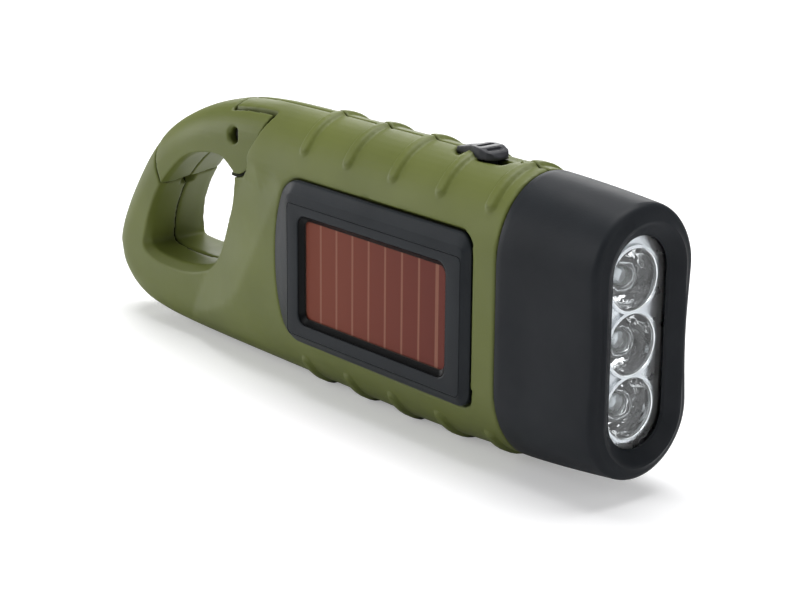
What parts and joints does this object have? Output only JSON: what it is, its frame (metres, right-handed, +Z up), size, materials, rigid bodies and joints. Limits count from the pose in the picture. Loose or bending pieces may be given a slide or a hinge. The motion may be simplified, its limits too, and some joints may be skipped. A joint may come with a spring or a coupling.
{
  "type": "hand crank flashlight",
  "caption": "Hand crank flashlight with a carabiner end, a solar cell on one side, a folding crank on the other, a top slide switch and a broad lamp head.",
  "frame": {"origin": "centre of the footprint box, on the plane that the lower ribs stand on", "axes": "+X from the carabiner to the lens, +Y from the solar cell side to the crank side, +Z up through the switch"},
  "size_m": [0.1384, 0.0316, 0.0489],
  "materials": {
    "olive_plastic": "satin moulded",
    "charcoal_plastic": "satin moulded",
    "steel": "plain",
    "brass": "plain",
    "copper": "enamelled wire",
    "magnet": "sintered",
    "gear_plastic": "plain",
    "clear_plastic": "polished clear",
    "led_resin": "clear resin",
    "mirror_plastic": "vacuum plated",
    "circuit_board": "lacquered",
    "solar_red": "glazed",
    "black_plastic": "plain"
  },
  "bodies": {
    "casing": {"panel_side_shell": "olive_plastic", "crank_side_shell": "olive_plastic", "gate_pin": "steel", "gate_spring": "steel", "case_screw_1": "steel", "case_screw_2": "steel", "case_screw_3": "steel", "case_screw_4": "steel", "head_shell": "charcoal_plastic", "lens_cover": "clear_plastic", "reflector": "mirror_plastic", "led_top": "led_resin", "led_middle": "led_resin", "led_bottom": "led_resin", "led_board": "circuit_board", "solar_bezel": "charcoal_plastic", "solar_cell": "solar_red", "main_board": "circuit_board", "slide_switch": "steel", "battery_cell_1": "steel", "battery_cell_2": "steel", "battery_cell_3": "steel", "battery_contact_rear": "brass", "battery_contact_front": "brass", "gear_plate": "steel", "first_idler_axle": "steel", "second_idler_axle": "steel", "gear_plate_screw_1": "steel", "gear_plate_screw_2": "steel", "stator_can": "steel", "stator_coil": "copper", "crank_bushing": "brass"},
    "switch": {"switch_slider": "charcoal_plastic", "switch_lever": "black_plastic"},
    "gate": {"gate_panel_half": "olive_plastic", "gate_crank_half": "olive_plastic", "gate_screw": "steel"},
    "crank": {"drive_gear": "gear_plastic", "crank_arm": "charcoal_plastic", "crank_screw": "steel", "knob_fold_pin": "steel"},
    "first_idler": {"first_idler_gear": "gear_plastic"},
    "second_idler": {"second_idler_gear": "gear_plastic"},
    "rotor": {"rotor_shaft": "steel", "rotor_pinion": "brass", "rotor_magnet": "magnet"},
    "knob_fold": {"knob_spindle": "steel", "knob_screw": "steel"},
    "knob_turn": {"knob_sleeve": "charcoal_plastic"}
  },
  "joints": [
    {"name": "switch_slide", "type": "slide", "parent": "casing", "child": "switch", "axis": [1, 0, 0], "range_m": [0, 0.002]},
    {"name": "gate_hinge", "type": "hinge", "parent": "casing", "child": "gate", "pos_m": [-0.0271, -0.00445, 0.0408], "axis": [0, -1, 0], "range_deg": [0, 22], "stiffness_Nm_per_rad": 0.02, "springref_deg": -20.05, "deforming": ["gate_spring"]},
    {"name": "crank_turn", "type": "hinge", "parent": "casing", "child": "crank", "pos_m": [0.0293, 0.00755, 0.0239], "axis": [0, 1, 0], "continuous": true},
    {"name": "first_idler_turn", "type": "hinge", "parent": "casing", "child": "first_idler", "pos_m": [0.01626, -0.00045, 0.03143], "axis": [0, 1, 0], "continuous": true},
    {"name": "second_idler_turn", "type": "hinge", "parent": "casing", "child": "second_idler", "pos_m": [0.00564, -0.00045, 0.02252], "axis": [0, 1, 0], "continuous": true},
    {"name": "rotor_turn", "type": "hinge", "parent": "casing", "child": "rotor", "pos_m": [-0.0061, -0.00345, 0.02726], "axis": [0, 1, 0], "continuous": true},
    {"name": "knob_fold_hinge", "type": "hinge", "parent": "crank", "child": "knob_fold", "pos_m": [-0.0107, 0.01135, 0.0239], "axis": [0, 0, 1], "range_deg": [0, 90]},
    {"name": "knob_spin", "type": "hinge", "parent": "knob_fold", "child": "knob_turn", "pos_m": [0.0013, 0.01135, 0.0239], "axis": [1, 0, 0], "continuous": true}
  ],
  "couplings": [
    {"joint": "first_idler_turn", "follows": "crank_turn", "ratio": -4},
    {"joint": "second_idler_turn", "follows": "crank_turn", "ratio": 14.4},
    {"joint": "rotor_turn", "follows": "crank_turn", "ratio": -46.08}
  ]
}
